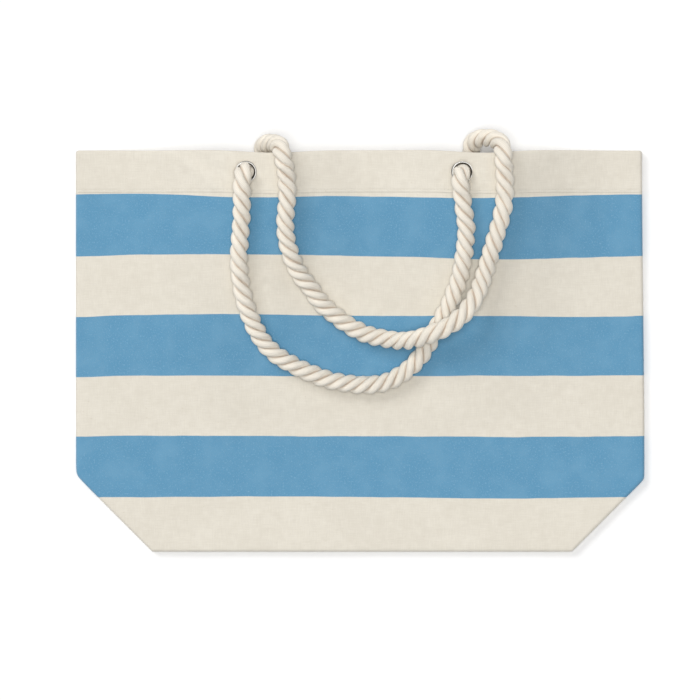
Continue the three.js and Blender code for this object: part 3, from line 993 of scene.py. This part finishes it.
# -------------------------------- hem facings, base and seam allowances
def facing(name, node, side, holes):
    """The hem's turned-in layer, inside the mouth."""
    low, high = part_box(node)
    x_line = np.linspace(low.x / MM, high.x / MM, 171)
    y_line = np.linspace((low.y - BOTTOM_FOLD) / MM + 1, HEIGHT - 2.2, 13)
    x, y = np.meshgrid(x_line, y_line)
    fallback = high.z / MM - (0 if side > 0 else 1.2)
    z = sheet_of(node, x, y, -side, fallback)
    z = blurred(z, 2.0) + 0.25 * ripples(x, y, 24, 21.0 + side)
    keep = np.ones((len(y_line) - 1, len(x_line) - 1), bool)
    for hx, hy in holes:
        keep &= ~around(np.hypot(x - hx, y - hy) < FACING_HOLE)
    points = np.stack([x, y, z], axis=2).reshape(-1, 3)
    place(cloth_object(name, points, grid_faces(*x.shape, keep), PLAIN, FACING), "natural_canvas", node)


facing("front_facing", "front_hem", 1, FRONT_HOLES)
facing("back_facing", "back_hem", -1, REAR_HOLES)


def base_half(name, node, seed):
    """Half of the base, tucked up flat between the two sides."""
    inset, bottom, columns = 1.4, 0.9, 150
    y_line = np.linspace(bottom, (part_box(node)[1].y - BOTTOM_FOLD) / MM, 25)
    left, right = outline(y_line)
    u = np.linspace(0, 1, columns)
    x = (left + inset)[:, None] + (right - left - 2 * inset)[:, None] * u[None, :]
    y = np.repeat(y_line[:, None], columns, axis=1)
    z = middle(node)[2] + 0.22 * smooth_step(y, 2, 20) * ripples(x, y, 40, seed)
    points = np.stack([x, y, z], axis=2).reshape(-1, 3)
    place(cloth_object(name, points, grid_faces(*x.shape), PLAIN, CLOTH), "natural_canvas", node)


base_half("base_front_cloth", "base_front_half", 31.0)
base_half("base_back_cloth", "base_back_half", 32.0)


def tube(points, radius, sides=6):
    """A closed thin tube through the points: vertices and faces, in drawing millimetres."""
    line = np.asarray(points, float)
    level = abs(line[-1][2] - line[0][2]) < 1e-6
    across, beside = frames_along(line, (0, 0, 1) if level else (1, 0, 0))
    angle = 2 * math.pi * np.arange(sides) / sides
    ring = (
        line[:, None, :]
        + radius * np.cos(angle)[None, :, None] * across[:, None, :]
        + radius * np.sin(angle)[None, :, None] * beside[:, None, :]
    )
    vertices = ring.reshape(-1, 3)
    faces = []
    for i in range(len(line) - 1):
        for k in range(sides):
            a, b = i * sides + k, i * sides + (k + 1) % sides
            faces.append((a, b, b + sides, a + sides))
    faces.append(tuple(range(sides))[::-1])
    faces.append(tuple(len(vertices) - sides + k for k in range(sides)))
    return vertices, faces


def joined(parts):
    """Several lots of vertices and faces as one."""
    vertices, faces = [], []
    for v, f in parts:
        faces.extend(tuple(i + len(vertices) for i in face) for face in f)
        vertices.extend(v)
    return np.array(vertices), faces


def overlock(name, low, high, along, across, inward, z):
    """The zigzag thread over a seam allowance's free edge."""
    pitch, width, from_end = 1.6, 3.6, 2
    free_edge = high[across] - 0.5 if inward > 0 else low[across] + 0.5
    zigzag = []
    for i in range(int((high[along] - low[along] - 2 * from_end) / pitch)):
        point = np.zeros(3)
        point[along] = low[along] + from_end + pitch * i
        point[across] = free_edge - inward * (0.0 if i % 2 else width)
        point[2] = z
        zigzag.append(point)
    place(add_mesh(name, *tube(zigzag, 0.25), THREAD), "natural_canvas")


def seam_allowance(name, node, along_x):
    """Two raw edges lying one on the other, with an overlocked edge."""
    to_drawing = np.array([0.0, BOTTOM_FOLD / MM, 0.0])
    low, high = (np.array(corner / MM) - to_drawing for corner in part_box(node))
    along, across = (0, 1) if along_x else (1, 0)
    a = np.linspace(low[along], high[along], int((high[along] - low[along]) / 3))
    b = np.linspace(low[across] + 0.4, high[across] - 0.4, 7)
    main, cross = np.meshgrid(a, b, indexing="ij")
    half_way = (low[2] + high[2]) / 2
    layers = []
    for i, lift in enumerate((-0.75, 0.75)):
        points = np.zeros(main.shape + (3,))
        points[..., along], points[..., across] = main, cross
        points[..., 2] = half_way + lift + 0.22 * ripples(main, cross, 15, 40.0 + i)
        layers.append((points.reshape(-1, 3), grid_faces(*main.shape)))
    place(cloth_object(name, *joined(layers), PLAIN, FACING), "natural_canvas", node)
    inward = -1.0 if (not along_x and low[0] > 0) else 1.0
    overlock(f"{name}_overlock", low, high, along, across, inward, half_way + 1.35)


seam_allowance("base_allowance", "base_seam", True)
seam_allowance("left_allowance", "left_side_seam", False)
seam_allowance("right_allowance", "right_side_seam", False)


# -------------------------------- stitching
STITCH, STITCH_GAP, THREAD_R = 2.9, 0.5, 0.24
STITCH_RISE = np.array([-0.25, 0.14, 0.2, 0.14, -0.25])  # over the cloth, from end to end
rng = np.random.default_rng(7)


def hem_stitches(name, grid, side):
    """One row of lock stitches that holds the hem, each dipping into the cloth at its ends."""
    row = int(np.argmin(np.abs(grid[:, 0, 1] - HEM_STITCH)))
    path = grid[row] + [0.0, 0.0, side * CLOTH / 2]
    path[:, 1] = HEM_STITCH
    length = np.concatenate([[0], np.cumsum(np.linalg.norm(np.diff(path, axis=0), axis=1))])
    parts = []
    for start in np.arange(3.0, length[-1] - 6, STITCH + STITCH_GAP):
        s = np.linspace(start, start + STITCH, len(STITCH_RISE))
        points = np.stack([np.interp(s, length, path[:, k]) for k in range(3)], axis=1)
        points[:, 2] += STITCH_RISE * side
        points[:, 1] += rng.uniform(-0.12, 0.12)
        parts.append(tube(points, THREAD_R))
    place(add_mesh(name, *joined(parts), THREAD), "natural_canvas")


hem_stitches("front_hem_stitches", front_grid, 1)
hem_stitches("back_hem_stitches", back_grid, -1)


# -------------------------------- eyelets and washers
def lathe(name, centre, profile, side, node):
    """A nickel ring turned from a closed outline, the right way out for its side."""
    count, points = 96, len(profile)
    radius, height, edge_shade = np.array(profile).T
    angle = 2 * math.pi * np.arange(count) / count
    vertices = np.zeros((count, points, 3))
    vertices[:, :, 0] = centre[0] + np.cos(angle)[:, None] * radius
    vertices[:, :, 1] = centre[1] + np.sin(angle)[:, None] * radius * side
    vertices[:, :, 2] = centre[2] + height * side
    faces, uv = [], []
    for i in range(count):
        this, after = i * points, (i + 1) % count * points
        for k in range(points):
            k_next = (k + 1) % points
            faces.append((this + k, this + k_next, after + k_next, after + k))
            # UV x carries how much painted shade and dark reflection darkens each point.
            uv.extend([(edge_shade[j], i / count) for j in (k, k_next, k_next, k)])
    place(add_mesh(name, vertices.reshape(-1, 3), faces, NICKEL, uv), "nickel", node)


BARREL_IN, BARREL_OUT, FLANGE_OUT = 8.05, 8.7, 11.1
CURLED = BARREL_OUT + 0.9  # the barrel's end, rolled out over the washer
# Outlines of (radius, height above the cloth, how much painted shade and dark reflection darkens the ring
# there).
EYELET_PROFILE = [
    (BARREL_IN, -4.6, 0.6),
    (BARREL_IN, -0.2, 0.9),
    (BARREL_IN + 0.35, 0.75, 1.0),
    (BARREL_IN + 0.85, 1.25, 0.7),
    (BARREL_IN + 1.35, 1.5, 0.1),
    (BARREL_IN + 1.85, 1.5, 0.0),
    (FLANGE_OUT - 0.75, 1.3, 0.0),
    (FLANGE_OUT - 0.35, 0.95, 0.5),
    (FLANGE_OUT, 0.5, 1.0),
    (FLANGE_OUT - 0.1, 0.3, 1.0),
    (FLANGE_OUT - 0.4, 0.32, 1.0),
    (BARREL_OUT, 0.35, 0.5),
    (BARREL_OUT, -4.3, 0.5),
    (CURLED, -4.5, 0.3),
    (CURLED + 0.05, -4.8, 0.0),
    (BARREL_OUT, -4.95, 0.0),
    (BARREL_IN + 0.3, -4.9, 0.2),
]
WASHER_PROFILE = [
    (8.95, -3.3, 0.5),
    (11.3, -3.35, 0.6),
    (11.6, -3.6, 0.9),
    (11.55, -3.85, 0.5),
    (11.2, -4.0, 0.0),
    (9.9, -4.05, 0.0),
    (8.95, -4.0, 0.4),
]
FLANGE_RISE = 1.6  # the CAD eyelet's, above the cloth's face
for place_name, eyelets, side in (("front", FRONT_EYELETS, 1), ("rear", REAR_EYELETS, -1)):
    for hand, eyelet in zip(("left", "right"), eyelets):
        which = f"{place_name}_{hand}"
        low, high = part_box(f"{which}_eyelet")
        cloth_face = (high.z / MM - FLANGE_RISE) if side > 0 else (low.z / MM + FLANGE_RISE)
        centre = (eyelet[0], eyelet[1], cloth_face)
        lathe(f"{which}_grommet", centre, EYELET_PROFILE, side, f"{which}_eyelet")
        lathe(f"{which}_ring", centre, WASHER_PROFILE, side, f"{which}_washer")


# -------------------------------- studio
WORLD = 0.28
# Soft lights: strength, spread in degrees, and where they shine from towards the middle of the bag.
LIGHTS = {
    "overhead": (1.76, 25, (0.0, 0.0, 3.0)),
    "key": (1.12, 26, (-2.0, 1.95, 2.8)),
}
FLOOR_HALF = 6.0
FLOOR_Z = -0.0004


def studio_floor():
    corners = [(x * FLOOR_HALF, y * FLOOR_HALF, FLOOR_Z) for x, y in ((-1, -1), (1, -1), (1, 1), (-1, 1))]
    mesh = bpy.data.meshes.new("studio_floor")
    mesh.from_pydata(corners, [], [(0, 1, 2, 3)])
    mesh.materials.append(floor_material())
    new_object("studio_floor", mesh)


def studio_light():
    world = bpy.data.worlds.new("studio")
    bpy.context.scene.world = world
    world.use_nodes = True
    background = world.node_tree.nodes["Background"].inputs
    background["Color"].default_value = (1.0, 1.0, 1.0, 1)
    background["Strength"].default_value = WORLD
    for name, (strength, spread, shines_from) in LIGHTS.items():
        light = bpy.data.lights.new(name, "SUN")
        light.energy = strength
        light.angle = math.radians(spread)
        lamp = new_object(name, light)
        lamp.location = shines_from
        lamp.rotation_euler = (-Vector(shines_from)).to_track_quat("-Z", "Y").to_euler()
    bpy.context.scene.view_settings.view_transform = "Standard"


studio_floor()
studio_light()
